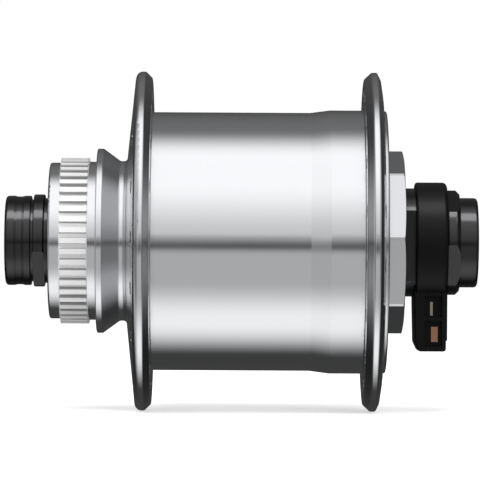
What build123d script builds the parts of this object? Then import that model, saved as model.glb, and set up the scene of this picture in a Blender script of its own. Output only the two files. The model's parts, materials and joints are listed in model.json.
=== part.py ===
from build123d import *

import os
from math import pi, radians, sqrt

os.makedirs("parts", exist_ok=True)

# A bicycle front hub with a dynamo inside. Lengths are in millimetres and angles in degrees.
# The axle runs along Y: the disc rotor goes on the +Y side, and the connector is on the -Y side.
# The origin is on the axle's centre line, halfway between the two end faces, and +Z is up.
# A radius is measured from that centre line, and a place is a Y value.
# Angles round the axle start at -X, the side that faces the viewer, and grow towards +Z.

# Fits and gaps
seat_gap = 0.02  # radial gap round a piece on its fixed seat
running_gap = 0.3  # between a turning face and a fixed face
seal_gap = 0.3  # between a seal's lip and what turns under it
ball_gap = 0.045  # round a ball in its race
cage_gap = 0.1  # round a ball in its cage
overrun = 1.0  # how far a cut runs past what it cuts

# Axle
end_face_spacing = 100.0
bore_radius = 6.1
groove_floor = 0.95  # wall left under the wire groove
wire_diameter = 1.1
wire_clearance = 0.1
wire_cover = 0.25  # from the wire to the axle's surface
step_wall = 1.4  # wall of the slimmer axle under the cone and the end caps
shoulder_height = 1.7
shoulder_width = 2.8
step_relief = 0.8  # thread left past the stator nut
o_ring_groove_share = 0.5  # of the axle's wall at its ends
o_ring_groove_width = 1.1
o_ring_squeeze = 0.02

# End caps
cap_radius = 9.5
cap_end_wall = 1.5
cap_edge_round = 0.75
cap_inner_edge_round = 0.25
cap_mouth_chamfer = 0.4
left_cap_length = 5.95
right_cap_length = 3.85
cap_groove_depth = 0.16
cap_groove_slope = 0.55  # how far each side of the groove runs down
cap_groove_width = 2.15
cap_groove_inset = 1.95  # from the end face
cap_neck_depth = 0.8
cap_neck_width = 0.5  # between the cap's spigot and the nut

# Lock nuts and inner nut
left_nut_radius = 9.8
left_nut_thickness = 2.35
left_nut_flats = 16.8
left_nut_angle = -45.0
left_nut_chamfer = 0.3
right_nut_radius = 11.1
right_nut_thickness = 2.65
right_nut_flats = 20.0
right_nut_angle = -28.5
right_nut_chamfer = 0.8
inner_nut_radius = 11.5
inner_nut_thickness = 2.0
inner_nut_flats = 17.5
inner_nut_angle = -4.5
inner_nut_nose_wall = 1.4
nut_edge_round = 0.25

# Connector
connector_width = 6.8
connector_radius = 12.76
connector_inner_round = 0.6
connector_outer_round = 1.0
terminal_width = 14.0
terminal_reach = 23.0  # from the axle's centre line to the lower end
terminal_root = 7.0  # where the block starts, inside the ring
terminal_overhang = 0.4  # past the ring, towards the shell
nut_recess_gap = 0.15  # round the inner nut, where the block passes it
terminal_draft = 0.3
terminal_corner_rise = 1.9
terminal_corner_run = 0.9
terminal_corner_round = 1.6
terminal_foot_round = 0.6
terminal_step = 0.25
terminal_step_rise = 2.3
terminal_edge_round = 0.45
socket_depth = 2.4
socket_inset = 1.1  # wall between the socket and the block's outer side
socket_width = 3.7
socket_top = 11.3  # below the centre line
socket_foot = 1.0  # wall under the socket
socket_rib_place = 15.8
socket_rib_height = 0.75
skirt_depth = 0.5
skirt_top = 12.4
skirt_width = 2.7
blade_stand = 0.5  # how far a contact stands out of the socket's floor
ground_blade_thickness = 0.56
ground_blade_inset = 3.3  # from the connector's outer side to the blade's middle
ground_blade_top = 12.55
ground_blade_height = 2.9
ground_ear_inset = 1.6  # from the block's middle to the ear that meets the axle
ground_ear_width = 1.8
live_blade_thickness = 1.4
live_blade_inset = 2.65
live_blade_top = 17.8
live_blade_height = 3.2
wire_drop_inset = 2.35  # from the connector's outer side to the wire's drop
wire_drop_bend = 3.0

# Rotor side of the shell
nose_clearance = 1.05  # from the lock nut to the shell's nose
nose_round = 0.5
nose_mouth_chamfer = 0.35
collar_length = 2.4
collar_step = 0.06
spline_teeth = 48
spline_length = 5.95
spline_root_radius = 16.5
spline_tooth_height = 1.1
spline_root_share = 0.66  # of the pitch at the root circle
spline_crest_share = 0.5
neck_length = 1.7
neck_step = 0.3
stop_radius = 19.58
stop_rim_width = 1.3
stop_rim_round = 0.3
stop_cone_length = 3.6
waist_radius = 16.95
waist_length = 1.4
waist_fillet = 0.8

# Flanges and barrel
barrel_radius = 27.4
barrel_rise = 0.55
barrel_taper_length = 4.15
barrel_end_length = 7.13
barrel_fillet = 0.2
flange_height = 8.6
left_flange_cone = 1.97  # how far the outer face leans in, from the waist to the rim
left_rim_round = 1.4
left_rim_width = 1.93
left_rim_bevel = 1.35
left_rim_edge_round = 0.5
left_flange_lean = 0.1  # lean of the inner face
right_flange_width = 4.2
right_rim_inset = 1.4  # from the shell's end face to the rim
right_rim_width = 1.15
right_rim_round = 0.5
right_rim_bevel = 1.45
right_flange_step = 0.45
right_flange_step_height = 3.0
right_flange_lean = 0.1
spoke_count = 18
spoke_hole_radius = 1.3
left_spoke_edge_distance = 5.0  # from the flange's rim to the hole's middle
right_spoke_edge_distance = 4.35
spoke_sink = 0.3
left_spoke_angle = 1.5

# Inside of the shell
barrel_wall = 2.15
iron_shelf = 1.25
web_thickness = 4.1
web_slope_run = 8.0
web_slope_rise = 4.3
lip_height = 2.4
thread_depth = 5.05
thread_step = 0.6
cover_seat_step = 1.25
cover_seat_room = 0.4

# Side cover
cover_rim_width = 0.7
cover_rim_step = 0.1
cover_rim_round = 0.4
cover_web = 2.3
cover_spigot_length = 3.6
cover_spigot_wall = 1.9
cover_boss_wall = 2.5
cover_boss_room = 0.8  # from the circlip to the boss's end
octagon_length = 3.8
octagon_flats = 36.0
octagon_turned_radius = 19.36
octagon_angle = 2.3
octagon_face_drop = 0.1
octagon_chamfer = 0.25
octagon_edge_round = 0.15
seal_pocket_depth = 2.2
seal_pocket_wall = 2.7  # radial height of the seal
seal_thickness = 1.9
lip_thickness = 0.7
lip_step = 1.1
gasket_diameter = 0.9
gasket_room = 0.1
gasket_inset = 1.8  # from the cover's seat to the gasket

# Rotor side bearing
left_ball_diameter = 3.969
left_ball_count = 15
cone_wall = 1.67
cone_body_step = 1.0
cone_nose_length = 2.2
cone_nose_step = 0.4
cone_length = 8.6
cup_wall = 0.75
cup_width = 6.2
cup_ball_inset = 3.2  # from the cup's outer side to the balls
cup_lip_share = 0.6  # of the ball's radius that the cup's inner lip covers
left_seal_width = 1.7
left_seal_pull = 0.1
left_cage_inner_share = 0.23  # of the ball's radius, inwards from the ball circle
left_cage_outer_share = 0.55
left_cage_length = 3.7
left_cage_inset = 1.0
dust_cover_radius = 12.0
dust_cover_thickness = 2.0
dust_cover_boss_radius = 9.0
dust_cover_boss_length = 0.8
dust_cover_skirt_wall = 1.0
dust_cover_skirt_length = 2.6
dust_cover_round = 0.5
left_spacer_wall = 2.5

# Connector side bearing
right_bearing_section = 4.5
right_bearing_width = 5.0
right_ball_diameter = 2.778
right_ball_count = 16
right_ring_space = 1.5  # radial space between the two rings
right_cage_wall = 0.8
right_cage_length = 2.9
right_cage_inset = 1.0
shield_thickness = 0.3
shield_inset = 0.05
shield_gap = 0.12
circlip_thickness = 1.0
circlip_height = 1.9
circlip_seat_depth = 0.7
circlip_opening = 4.0
circlip_side_gap = 0.05
right_spacer_wall = 1.5

# Stator and magnets
pole_count = 14  # on each side
pole_width = 2.8
pole_web = 2.0
pole_finger_share = 0.1756  # of the room from the axle to the poles' faces
pole_tip_room = 0.5
pole_root_step = 0.5
core_wall_share = 0.2546  # of the room from the axle to the poles' faces
bobbin_wall = 0.8
bobbin_flange = 0.9
bobbin_gap = 0.3
winding_inset = 0.4
stator_plate_thickness = 1.2
stator_plate_inset = 2.9  # from the poles' faces to the plates' rims
stator_nut_thickness = 3.0
stator_nut_radius = 11.2
stator_left_room = 6.1
stator_right_room = 6.3
air_gap = 0.5
iron_wall = 1.4
iron_margin = 0.8
magnet_count = 4
magnet_thickness = 2.95
magnet_joint = 0.4
keeper_width = 1.5
keeper_height = 4.0
wire_start_rise = 0.7
wire_lead_out = 1.6
wire_settle = 3.4
wire_bend = 4.5

# Radii that follow from the sizes
axle_radius = bore_radius + groove_floor + wire_clearance + wire_diameter + wire_cover
step_radius = bore_radius + step_wall
shoulder_radius = axle_radius + shoulder_height
groove_width = wire_diameter + wire_clearance * 4
groove_bottom = bore_radius + groove_floor
wire_line = groove_bottom + wire_clearance + wire_diameter / 2
seat_radius = axle_radius + seat_gap
step_seat_radius = step_radius + seat_gap
barrel_end_radius = barrel_radius + barrel_rise
flange_radius = barrel_radius + flange_height
chamber_radius = barrel_radius - barrel_wall
iron_seat_radius = chamber_radius - iron_shelf
cover_seat_radius = chamber_radius + cover_seat_step
left_spoke_circle_radius = flange_radius - left_spoke_edge_distance
right_spoke_circle_radius = flange_radius - right_spoke_edge_distance
left_ball_radius = left_ball_diameter / 2
left_race_radius = left_ball_radius + ball_gap
left_ball_circle = step_radius + cone_wall + left_race_radius
cone_radius = step_radius + cone_wall + cone_body_step
cup_bore_radius = left_ball_circle + left_race_radius + seat_gap
cup_radius = cup_bore_radius + cup_wall
cup_seat_radius = cup_radius + seat_gap
thread_radius = cup_seat_radius + thread_step
grease_hole_radius = cup_seat_radius - lip_height
collar_radius = spline_root_radius + collar_step
neck_radius = spline_root_radius + neck_step
spline_core_radius = (spline_root_radius + thread_radius) / 2
right_ball_radius = right_ball_diameter / 2
right_race_radius = right_ball_radius + ball_gap
right_ball_circle = axle_radius + right_bearing_section / 2
inner_ring_radius = right_ball_circle - right_ring_space / 2
outer_ring_bore = right_ball_circle + right_ring_space / 2
outer_ring_radius = axle_radius + right_bearing_section
bearing_seat_radius = outer_ring_radius + seat_gap
inner_nut_nose_radius = axle_radius + inner_nut_nose_wall
seal_pocket_radius = inner_nut_nose_radius + seal_pocket_wall
iron_radius = chamber_radius - seat_gap
magnet_radius = iron_radius - iron_wall - seat_gap
magnet_bore = magnet_radius - magnet_thickness
pole_face = sqrt((magnet_bore - air_gap) ** 2 - (pole_width / 2) ** 2)
pole_room = pole_face - seat_radius
core_radius = seat_radius + pole_room * core_wall_share
bobbin_bore = core_radius + seat_gap
bobbin_hub_radius = bobbin_bore + bobbin_wall
finger_inner = pole_face - pole_room * pole_finger_share
bobbin_radius = finger_inner - bobbin_gap
winding_radius = bobbin_radius - winding_inset
stator_plate_radius = pole_face - stator_plate_inset

# Places along the axle, from the +Y end inwards
end_face = end_face_spacing / 2
left_axle_end = end_face - cap_end_wall
left_cap_inner = end_face - left_cap_length
left_nut_inner = left_cap_inner - left_nut_thickness
nose_face = left_nut_inner - nose_clearance
spline_outer = nose_face - collar_length
spline_inner = spline_outer - spline_length
stop_face = spline_inner - neck_length
stop_rim_inner = stop_face - stop_rim_width
waist_outer = stop_rim_inner - stop_cone_length
left_flange_root = waist_outer - waist_length
left_rim_outer = left_flange_root - left_flange_cone
left_rim_inner = left_rim_outer - left_rim_width
left_bevel_end = left_rim_inner - left_rim_bevel
barrel_left = left_bevel_end - left_flange_lean
seal_seat_outer = nose_face - thread_depth
cup_outer = seal_seat_outer - left_seal_width
cup_inner = cup_outer - cup_width
left_balls_place = cup_outer - cup_ball_inset
cone_inner = left_balls_place - cone_nose_length
cone_outer = cone_inner + cone_length
chamber_left = left_flange_root - web_thickness
dust_cover_outer = left_nut_inner - dust_cover_boss_length
dust_cover_inner = dust_cover_outer - dust_cover_thickness

# Places along the axle, from the -Y end inwards
right_axle_end = -left_axle_end
right_cap_inner = -end_face + right_cap_length
connector_outer = right_cap_inner + right_nut_thickness
connector_inner = connector_outer + connector_width
inner_nut_inner = connector_inner + inner_nut_thickness
cover_face = inner_nut_inner + running_gap
octagon_root = cover_face + octagon_length
shell_end = octagon_root + cover_rim_width
seal_seat_inner = cover_face + seal_pocket_depth
bearing_outer = seal_seat_inner + lip_thickness
bearing_inner = bearing_outer + right_bearing_width
right_balls_place = (bearing_outer + bearing_inner) / 2
circlip_inner = bearing_inner + circlip_thickness
cover_boss_end = circlip_inner + cover_boss_room
cover_spigot_end = shell_end + cover_spigot_length
gasket_place = shell_end + gasket_inset
right_rim_outer = shell_end + right_rim_inset
right_rim_inner = right_rim_outer + right_rim_width
barrel_right = shell_end + right_flange_width
barrel_taper_outer = barrel_right + barrel_end_length
barrel_taper_inner = barrel_taper_outer + barrel_taper_length

# Places of the stator, which stands in the middle of its chamber
nut_outer = chamber_left - stator_left_room
left_plate_outer = nut_outer - stator_nut_thickness
left_web_outer = left_plate_outer - stator_plate_thickness
left_core_end = left_web_outer - pole_web
shoulder_outer = cover_boss_end + stator_right_room
right_plate_outer = shoulder_outer + shoulder_width
right_web_outer = right_plate_outer + stator_plate_thickness
right_core_end = right_web_outer + pole_web
iron_left = left_web_outer + iron_margin
iron_right = right_web_outer - iron_margin
axle_step_place = nut_outer + step_relief

# Angles of the claw poles: the wire leaves between two webs at the foot of the stator
wire_angle = -90.0
pole_pitch = 360 / pole_count
left_pole_angle = wire_angle
right_pole_angle = wire_angle + pole_pitch / 2
right_spoke_angle = left_spoke_angle + 180 / spoke_count


def station(place):
    """The plane across the axle at a place, seen along +Y: its x points at the viewer, its y up."""
    return Plane(origin=(0, place, 0), x_dir=(-1, 0, 0), z_dir=(0, 1, 0))


def half_section(*corners):
    """Adds a turned piece's half section to the sketch. A corner is a radius, a place and a rounding."""
    with BuildLine() as outline:
        FilletPolyline(
            *[(corner[0], corner[1]) for corner in corners],
            radius=[corner[2] for corner in corners],
            close=True,
        )
    make_face(outline.edges())


def ring_section(inner, outer, start, end):
    """Adds the half section of a plain ring to the sketch."""
    with BuildLine() as outline:
        Polyline((inner, start), (outer, start), (outer, end), (inner, end), close=True)
    make_face(outline.edges())


def race_section(circle_radius, place, race_radius):
    """Adds the round section of a race, or of an O-ring, to the sketch."""
    with Locations((circle_radius, place)):
        Circle(race_radius)


# Hollow axle, with the shoulder that the stator is clamped against and the groove for the lead wire
o_ring_groove_depth = step_wall * o_ring_groove_share
left_o_ring_place = (left_cap_inner + left_axle_end) / 2
right_o_ring_place = (right_cap_inner + right_axle_end) / 2
wire_drop_place = connector_outer + wire_drop_inset
groove_start = right_web_outer + overrun
groove_end = wire_drop_place - wire_diameter / 2 - wire_clearance

with BuildPart() as hollow_axle:
    with BuildSketch(Plane.XY):
        half_section(
            (bore_radius, left_axle_end, 0),
            (step_radius, left_axle_end, 0),
            (step_radius, axle_step_place, 0),
            (axle_radius, axle_step_place, 0),
            (axle_radius, right_plate_outer, 0),
            (shoulder_radius, right_plate_outer, 0),
            (shoulder_radius, shoulder_outer, 0),
            (axle_radius, shoulder_outer, 0),
            (axle_radius, right_cap_inner, 0),
            (step_radius, right_cap_inner, 0),
            (step_radius, right_axle_end, 0),
            (bore_radius, right_axle_end, 0),
        )
    revolve(axis=Axis.Y)
    for o_ring_place in (left_o_ring_place, right_o_ring_place):
        with BuildSketch(Plane.XY):
            ring_section(
                step_radius - o_ring_groove_depth,
                step_radius + overrun,
                o_ring_place - o_ring_groove_width / 2,
                o_ring_place + o_ring_groove_width / 2,
            )
        revolve(axis=Axis.Y, mode=Mode.SUBTRACT)
    with BuildSketch(Plane.XY.offset(-groove_bottom)):
        with Locations((0, (groove_start + groove_end) / 2)):
            Rectangle(groove_width, groove_start - groove_end)
    extrude(amount=groove_bottom - shoulder_radius - overrun, mode=Mode.SUBTRACT)

# O-rings between the axle's ends and the end caps
o_ring_space = o_ring_groove_depth + seat_gap
o_ring_radius = o_ring_space / 2 - o_ring_squeeze
o_ring_circle = step_seat_radius - o_ring_space / 2

with BuildPart() as left_cap_o_ring:
    with BuildSketch(Plane.XY):
        race_section(o_ring_circle, left_o_ring_place, o_ring_radius)
    revolve(axis=Axis.Y)

with BuildPart() as right_cap_o_ring:
    with BuildSketch(Plane.XY):
        race_section(o_ring_circle, right_o_ring_place, o_ring_radius)
    revolve(axis=Axis.Y)

# End cap on the rotor side, with a shallow groove round it and a neck where it meets the nut
cap_groove_outer = end_face - cap_groove_inset
cap_groove_inner = cap_groove_outer - cap_groove_width
cap_neck_outer = left_cap_inner + cap_neck_width
cap_neck_radius = cap_radius - cap_neck_depth

with BuildPart() as left_end_cap:
    with BuildSketch(Plane.XY):
        half_section(
            (bore_radius, end_face - cap_mouth_chamfer, 0),
            (bore_radius + cap_mouth_chamfer, end_face, 0),
            (cap_radius, end_face, cap_edge_round),
            (cap_radius, cap_groove_outer, 0),
            (cap_radius - cap_groove_depth, cap_groove_outer - cap_groove_slope, 0),
            (cap_radius - cap_groove_depth, cap_groove_inner + cap_groove_slope, 0),
            (cap_radius, cap_groove_inner, 0),
            (cap_radius, cap_neck_outer, cap_inner_edge_round),
            (cap_neck_radius, cap_neck_outer, 0),
            (cap_neck_radius, left_cap_inner, 0),
            (step_seat_radius, left_cap_inner, 0),
            (step_seat_radius, left_axle_end, 0),
            (bore_radius, left_axle_end, 0),
        )
    revolve(axis=Axis.Y)

# End cap on the connector side
with BuildPart() as right_end_cap:
    with BuildSketch(Plane.XY):
        half_section(
            (bore_radius, cap_mouth_chamfer - end_face, 0),
            (bore_radius + cap_mouth_chamfer, -end_face, 0),
            (cap_radius, -end_face, cap_edge_round),
            (cap_radius, right_cap_inner, 0),
            (step_seat_radius, right_cap_inner, 0),
            (step_seat_radius, right_axle_end, 0),
            (bore_radius, right_axle_end, 0),
        )
    revolve(axis=Axis.Y)

# Lock nut on the rotor side: a round nut with two flats
with BuildPart() as left_lock_nut:
    with BuildSketch(Plane.XY):
        half_section(
            (step_seat_radius, left_nut_inner, 0),
            (left_nut_radius, left_nut_inner, left_nut_chamfer),
            (left_nut_radius, left_cap_inner, left_nut_chamfer),
            (step_seat_radius, left_cap_inner, 0),
        )
    revolve(axis=Axis.Y)
    with BuildSketch(station(left_nut_inner)):
        Rectangle(left_nut_flats, (left_nut_radius + overrun) * 2, rotation=left_nut_angle)
    extrude(amount=left_nut_thickness, mode=Mode.INTERSECT)

# Lock nut on the connector side: a round nut with four flats
with BuildPart() as right_lock_nut:
    with BuildSketch(Plane.XY):
        half_section(
            (seat_radius, right_cap_inner, 0),
            (right_nut_radius - right_nut_chamfer, right_cap_inner, 0),
            (right_nut_radius, right_cap_inner + right_nut_chamfer, nut_edge_round),
            (right_nut_radius, connector_outer, nut_edge_round),
            (seat_radius, connector_outer, 0),
        )
    revolve(axis=Axis.Y)
    with BuildSketch(station(right_cap_inner)):
        Rectangle(right_nut_flats, right_nut_flats, rotation=right_nut_angle)
    extrude(amount=right_nut_thickness, mode=Mode.INTERSECT)

# Inner nut, whose nose clamps the bearing's inner ring
with BuildPart() as inner_nut:
    with BuildSketch(Plane.XY):
        ring_section(seat_radius, inner_nut_radius, connector_inner, inner_nut_inner)
    revolve(axis=Axis.Y)
    with BuildSketch(station(connector_inner)):
        Rectangle(inner_nut_flats, (inner_nut_radius + overrun) * 2, rotation=inner_nut_angle)
    extrude(amount=inner_nut_thickness, mode=Mode.INTERSECT)
    with BuildSketch(Plane.XY):
        ring_section(seat_radius, inner_nut_nose_radius, inner_nut_inner, bearing_outer)
    revolve(axis=Axis.Y)

# Connector: a ring round the axle with a terminal block that hangs down
ground_blade_place = connector_outer + ground_blade_inset
live_blade_place = connector_outer + live_blade_inset
block_inner = connector_inner + terminal_overhang
socket_outer = connector_outer + socket_inset
socket_inner = socket_outer + socket_width
socket_bottom = terminal_reach - socket_foot
socket_floor = terminal_width / 2 - socket_depth
blade_length = (socket_floor + blade_stand) * 2


def ground_blade_outline():
    """Adds the ground contact's outline to the sketch: a blade with an ear up to the axle."""
    with Locations((0, -ground_blade_top - ground_blade_height / 2)):
        Rectangle(blade_length, ground_blade_height)
    ear_side = -ground_ear_inset - ground_ear_width / 2
    with Locations((ear_side, (-axle_radius - ground_blade_top) / 2)):
        Rectangle(ground_ear_width, ground_blade_top - axle_radius)


def live_blade_outline():
    """Adds the live contact's outline to the sketch."""
    with Locations((0, -live_blade_top - live_blade_height / 2)):
        Rectangle(blade_length, live_blade_height)


with BuildPart() as ground_contact:
    with BuildSketch(station(ground_blade_place - ground_blade_thickness / 2)):
        ground_blade_outline()
    extrude(amount=ground_blade_thickness)

with BuildPart() as live_contact:
    with BuildSketch(station(live_blade_place - live_blade_thickness / 2)):
        live_blade_outline()
    extrude(amount=live_blade_thickness)

with BuildPart() as connector_body:
    with BuildSketch(Plane.YZ):
        with BuildLine():
            FilletPolyline(
                (connector_outer, -terminal_root),
                (block_inner, -terminal_root),
                (block_inner - terminal_draft, -terminal_reach + terminal_corner_rise),
                (block_inner - terminal_draft - terminal_corner_run, -terminal_reach),
                (connector_outer + terminal_step, -terminal_reach),
                (connector_outer + terminal_step, -terminal_reach + terminal_step_rise),
                (connector_outer, -terminal_reach + terminal_step_rise),
                radius=[0, 0, terminal_corner_round, terminal_foot_round, terminal_foot_round, 0, 0],
                close=True,
            )
        make_face()
    extrude(amount=terminal_width / 2, both=True)
    fillet(connector_body.faces().filter_by(Axis.X).edges(), terminal_edge_round)
    with BuildSketch(Plane.XY):
        half_section(
            (axle_radius, connector_outer, 0),
            (connector_radius, connector_outer, connector_outer_round),
            (connector_radius, connector_inner, connector_inner_round),
            (axle_radius, connector_inner, 0),
        )
    revolve(axis=Axis.Y)
    with BuildSketch(station(connector_outer)):
        Circle(seat_radius)
    extrude(amount=connector_width + terminal_overhang, mode=Mode.SUBTRACT)
    with BuildSketch(station(connector_inner)):
        Circle(inner_nut_radius + nut_recess_gap)
    extrude(amount=terminal_overhang, mode=Mode.SUBTRACT)
    # The two halves of the socket, with a rib between them, on the front and on the back
    socket_middle = (socket_outer + socket_inner) / 2
    rib_bottom = socket_rib_place + socket_rib_height
    for side in (1, -1):
        for top, bottom in ((socket_top, socket_rib_place), (rib_bottom, socket_bottom)):
            with BuildSketch(Plane.YZ.offset(side * socket_floor)):
                with Locations((socket_middle, -(top + bottom) / 2)):
                    Rectangle(socket_width, bottom - top)
            extrude(amount=side * (socket_depth + overrun), mode=Mode.SUBTRACT)
        with BuildSketch(Plane.YZ.offset(side * (terminal_width / 2 - skirt_depth))):
            with Locations((connector_outer + skirt_width, -skirt_top)):
                Rectangle(
                    skirt_width + overrun,
                    terminal_reach + overrun - skirt_top,
                    align=(Align.MAX, Align.MAX),
                )
        extrude(amount=side * (skirt_depth + overrun), mode=Mode.SUBTRACT)
    # The slots that hold the two contacts
    with BuildSketch(station(ground_blade_place - ground_blade_thickness / 2)):
        ground_blade_outline()
    extrude(amount=ground_blade_thickness, mode=Mode.SUBTRACT)
    with BuildSketch(station(live_blade_place - live_blade_thickness / 2)):
        live_blade_outline()
    extrude(amount=live_blade_thickness, mode=Mode.SUBTRACT)
    # The passage for the lead wire: a bend out of the axle's groove, then a drop to the live contact
    bend_room = wire_drop_bend + wire_diameter
    with BuildSketch(Plane.YZ.offset(-groove_width / 2)):
        with Locations((wire_drop_place, -wire_line)):
            Rectangle(bend_room, bend_room, align=(Align.MIN, Align.CENTER))
            Rectangle(groove_width, live_blade_top - wire_line, align=(Align.CENTER, Align.MAX))
            Rectangle(groove_width, bend_room)
    extrude(amount=groove_width, mode=Mode.SUBTRACT)

# Lead wire: out of the bobbin, down into the axle's groove, along it and down to the live contact
wire_start_line = bobbin_hub_radius + wire_start_rise
bobbin_right = right_core_end + seat_gap
bobbin_left = left_core_end - seat_gap

with BuildPart() as lead_wire:
    with BuildLine(Plane.YZ):
        FilletPolyline(
            (bobbin_right, -wire_start_line),
            (right_plate_outer - wire_lead_out, -wire_start_line),
            (bearing_inner + wire_settle, -wire_line),
            (wire_drop_place, -wire_line),
            (wire_drop_place, -live_blade_top),
            radius=[wire_bend, wire_bend, wire_drop_bend],
        )
    with BuildSketch(station(bobbin_right)):
        with Locations((0, -wire_start_line)):
            Circle(wire_diameter / 2)
    sweep()

# Spacer between the axle's shoulder and the bearing, slotted for the wire
with BuildPart() as right_spacer:
    with BuildSketch(Plane.XY):
        ring_section(seat_radius, axle_radius + right_spacer_wall, shoulder_outer, bearing_inner)
    revolve(axis=Axis.Y)
    with BuildSketch(Plane.XY):
        with Locations((0, (shoulder_outer + bearing_inner) / 2)):
            Rectangle(groove_width, shoulder_outer - bearing_inner)
    extrude(amount=-(axle_radius + right_spacer_wall + overrun), mode=Mode.SUBTRACT)

# Spacer between the cone and the dust cover
with BuildPart() as left_spacer:
    with BuildSketch(Plane.XY):
        ring_section(step_seat_radius, step_radius + left_spacer_wall, cone_outer, dust_cover_inner)
    revolve(axis=Axis.Y)

# Dust cover, held by the lock nut, with a skirt that reaches over the seal
with BuildPart() as left_dust_cover:
    with BuildSketch(Plane.XY):
        half_section(
            (step_seat_radius, left_nut_inner, 0),
            (dust_cover_boss_radius, left_nut_inner, 0),
            (dust_cover_boss_radius, dust_cover_outer, 0),
            (dust_cover_radius, dust_cover_outer, dust_cover_round),
            (dust_cover_radius, dust_cover_inner - dust_cover_skirt_length, 0),
            (
                dust_cover_radius - dust_cover_skirt_wall,
                dust_cover_inner - dust_cover_skirt_length,
                0,
            ),
            (dust_cover_radius - dust_cover_skirt_wall, dust_cover_inner, 0),
            (step_seat_radius, dust_cover_inner, 0),
        )
    revolve(axis=Axis.Y)

# Cone of the rotor side bearing
cone_throat = step_radius + cone_wall
with BuildPart() as left_cone:
    with BuildSketch(Plane.XY):
        half_section(
            (step_seat_radius, cone_inner, 0),
            (cone_throat - cone_nose_step, cone_inner, 0),
            (cone_throat - seat_gap, left_balls_place, 0),
            (cone_radius, left_balls_place + left_race_radius, 0),
            (cone_radius, cone_outer, 0),
            (step_seat_radius, cone_outer, 0),
        )
    revolve(axis=Axis.Y)
    with BuildSketch(Plane.XY):
        race_section(left_ball_circle, left_balls_place, left_race_radius)
    revolve(axis=Axis.Y, mode=Mode.SUBTRACT)

# Cup of the rotor side bearing
cup_lip_radius = left_ball_circle + left_ball_radius * cup_lip_share
with BuildPart() as left_bearing_cup:
    with BuildSketch(Plane.XY):
        half_section(
            (cup_lip_radius, cup_inner, 0),
            (cup_radius, cup_inner, 0),
            (cup_radius, cup_outer, 0),
            (cup_bore_radius, cup_outer, 0),
            (cup_bore_radius, left_balls_place, 0),
            (cup_lip_radius, left_balls_place - left_race_radius, 0),
        )
    revolve(axis=Axis.Y)
    with BuildSketch(Plane.XY):
        race_section(left_ball_circle, left_balls_place, left_race_radius)
    revolve(axis=Axis.Y, mode=Mode.SUBTRACT)

# Seal in front of the cup
with BuildPart() as left_seal:
    with BuildSketch(Plane.XY):
        ring_section(
            cone_radius + seal_gap,
            cup_radius,
            cup_outer,
            seal_seat_outer - left_seal_pull,
        )
    revolve(axis=Axis.Y)

# Balls and cage of the rotor side bearing
with BuildPart(station(left_balls_place)) as left_balls:
    with PolarLocations(left_ball_circle, left_ball_count):
        Sphere(left_ball_radius)

left_cage_start = left_balls_place - left_cage_inset
with BuildPart() as left_ball_cage:
    with BuildSketch(Plane.XY):
        ring_section(
            left_ball_circle - left_ball_radius * left_cage_inner_share,
            left_ball_circle + left_ball_radius * left_cage_outer_share,
            left_cage_start,
            left_cage_start + left_cage_length,
        )
    revolve(axis=Axis.Y)
    with Locations(station(left_balls_place)):
        with PolarLocations(left_ball_circle, left_ball_count):
            Sphere(left_ball_radius + cage_gap, mode=Mode.SUBTRACT)

# Rings of the connector side bearing
with BuildPart() as right_bearing_inner_ring:
    with BuildSketch(Plane.XY):
        ring_section(seat_radius, inner_ring_radius, bearing_outer, bearing_inner)
    revolve(axis=Axis.Y)
    with BuildSketch(Plane.XY):
        race_section(right_ball_circle, right_balls_place, right_race_radius)
    revolve(axis=Axis.Y, mode=Mode.SUBTRACT)

with BuildPart() as right_bearing_outer_ring:
    with BuildSketch(Plane.XY):
        ring_section(outer_ring_bore, outer_ring_radius, bearing_outer, bearing_inner)
    revolve(axis=Axis.Y)
    with BuildSketch(Plane.XY):
        race_section(right_ball_circle, right_balls_place, right_race_radius)
    revolve(axis=Axis.Y, mode=Mode.SUBTRACT)

# Balls and cage of the connector side bearing
with BuildPart(station(right_balls_place)) as right_balls:
    with PolarLocations(right_ball_circle, right_ball_count):
        Sphere(right_ball_radius)

right_cage_start = right_balls_place - right_cage_inset
with BuildPart() as right_ball_cage:
    with BuildSketch(Plane.XY):
        ring_section(
            right_ball_circle - right_cage_wall / 2,
            right_ball_circle + right_cage_wall / 2,
            right_cage_start,
            right_cage_start + right_cage_length,
        )
    revolve(axis=Axis.Y)
    with Locations(station(right_balls_place)):
        with PolarLocations(right_ball_circle, right_ball_count):
            Sphere(right_ball_radius + cage_gap, mode=Mode.SUBTRACT)

# The bearing's two shields, held by the outer ring
with BuildPart() as right_bearing_shields:
    for shield_place in (bearing_outer + shield_inset, bearing_inner - shield_inset - shield_thickness):
        with BuildSketch(Plane.XY):
            ring_section(
                inner_ring_radius + shield_gap,
                outer_ring_bore - seat_gap,
                shield_place,
                shield_place + shield_thickness,
            )
        revolve(axis=Axis.Y)

# Circlip that holds the bearing in the cover
circlip_radius = outer_ring_radius + circlip_seat_depth - seat_gap
with BuildPart() as bearing_circlip:
    with BuildSketch(Plane.XY):
        ring_section(circlip_radius - circlip_height, circlip_radius, bearing_inner, circlip_inner)
    revolve(axis=Axis.Y)
    with BuildSketch(station(bearing_inner)):
        Rectangle(circlip_radius + overrun, circlip_opening, align=(Align.MIN, Align.CENTER))
    extrude(amount=circlip_thickness, mode=Mode.SUBTRACT)

# Side cover: a disc with a spigot in the shell, a boss for the bearing and an octagon for the tool
cover_rim_radius = barrel_end_radius - cover_rim_step
cover_spigot_radius = cover_seat_radius - seat_gap
cover_boss_radius = outer_ring_radius + cover_boss_wall
octagon_face_radius = octagon_flats / 2
octagon_shoulder = cover_face + octagon_face_drop
octagon_chamfer_end = octagon_shoulder + octagon_chamfer
gasket_seat_depth = gasket_diameter + gasket_room

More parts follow.
